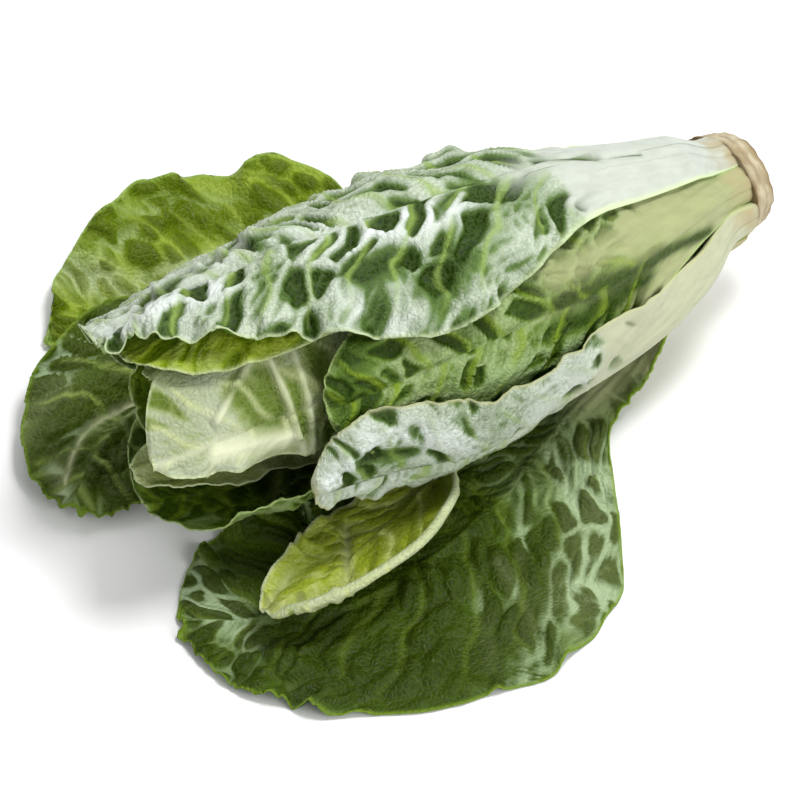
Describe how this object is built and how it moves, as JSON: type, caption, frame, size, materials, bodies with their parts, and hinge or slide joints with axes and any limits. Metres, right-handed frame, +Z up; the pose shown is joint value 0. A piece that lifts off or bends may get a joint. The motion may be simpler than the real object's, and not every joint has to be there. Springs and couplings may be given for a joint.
{
  "type": "romaine lettuce head",
  "caption": "Cut romaine lettuce head lying on its side, blistered leaves wrapped round a pale heart, with outer leaves fallen open on the surface.",
  "frame": {"origin": "on the surface that the head lies on, under the middle of the head's bounding box", "axes": "+Z up; +X along the head towards the cut end of the stem; +Y behind the head"},
  "size_m": [0.2844, 0.271, 0.1112],
  "materials": {
    "stem": "matte, moist cut",
    "outer_leaf": "satin, waxy",
    "spread_leaf": "satin, waxy",
    "heart_leaf": "satin, waxy"
  },
  "bodies": {
    "root": {"stem": "stem", "top_leaf": "outer_leaf", "fallen_front_leaf": "outer_leaf", "back_leaf": "outer_leaf", "lower_leaf": "outer_leaf", "upper_back_leaf": "outer_leaf", "front_leaf": "outer_leaf", "lower_back_leaf": "outer_leaf", "curled_front_leaf": "spread_leaf", "spread_front_leaf": "spread_leaf", "spread_left_leaf": "spread_leaf", "spread_back_leaf": "spread_leaf", "heart_leaf_1": "heart_leaf", "heart_leaf_2": "heart_leaf", "heart_leaf_3": "heart_leaf", "heart_leaf_4": "heart_leaf", "heart_leaf_5": "heart_leaf", "heart_leaf_6": "heart_leaf", "heart_leaf_7": "heart_leaf", "heart_leaf_8": "heart_leaf", "heart_leaf_9": "heart_leaf"}
  },
  "joints": []
}
